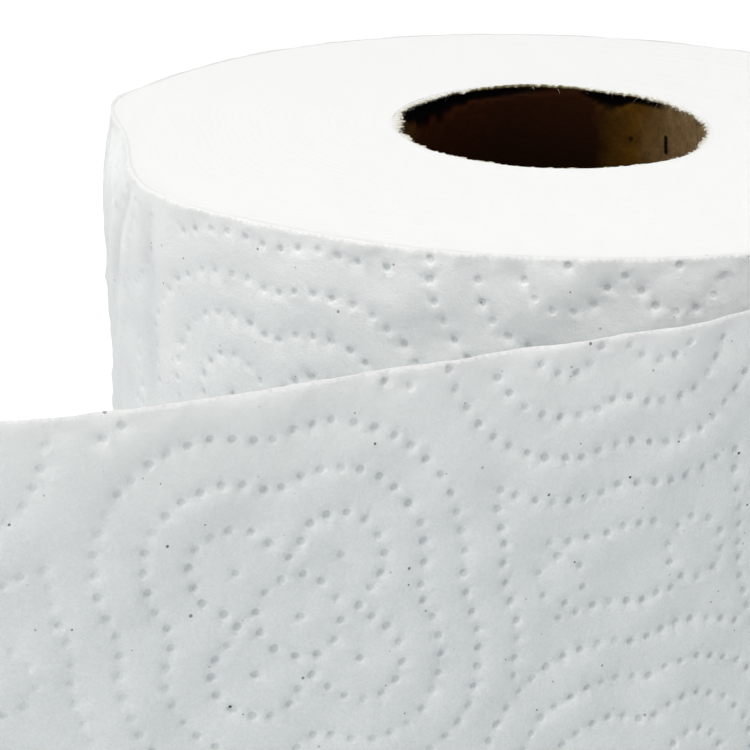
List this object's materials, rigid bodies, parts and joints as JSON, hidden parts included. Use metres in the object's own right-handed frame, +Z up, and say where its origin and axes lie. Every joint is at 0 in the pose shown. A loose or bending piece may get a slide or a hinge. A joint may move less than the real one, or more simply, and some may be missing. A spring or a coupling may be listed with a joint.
{
  "type": "toilet paper roll",
  "caption": "Embossed tissue wound on a cardboard tube, standing on its end, with its first sheet pulled free and opened out.",
  "frame": {"origin": "on the axis of the core, at the lower end face that the roll stands on", "axes": "+Z up along the core's axis; +X to the right and +Y away as the picture shows the roll; the free sheet leaves at the right front and runs to the left front"},
  "size_m": [0.1304, 0.1756, 0.1],
  "materials": {
    "tissue": "soft matt white tissue, embossed",
    "board": "uncoated grey-brown board"
  },
  "bodies": {
    "root": {"paper": "tissue", "core": "board"}
  },
  "joints": []
}
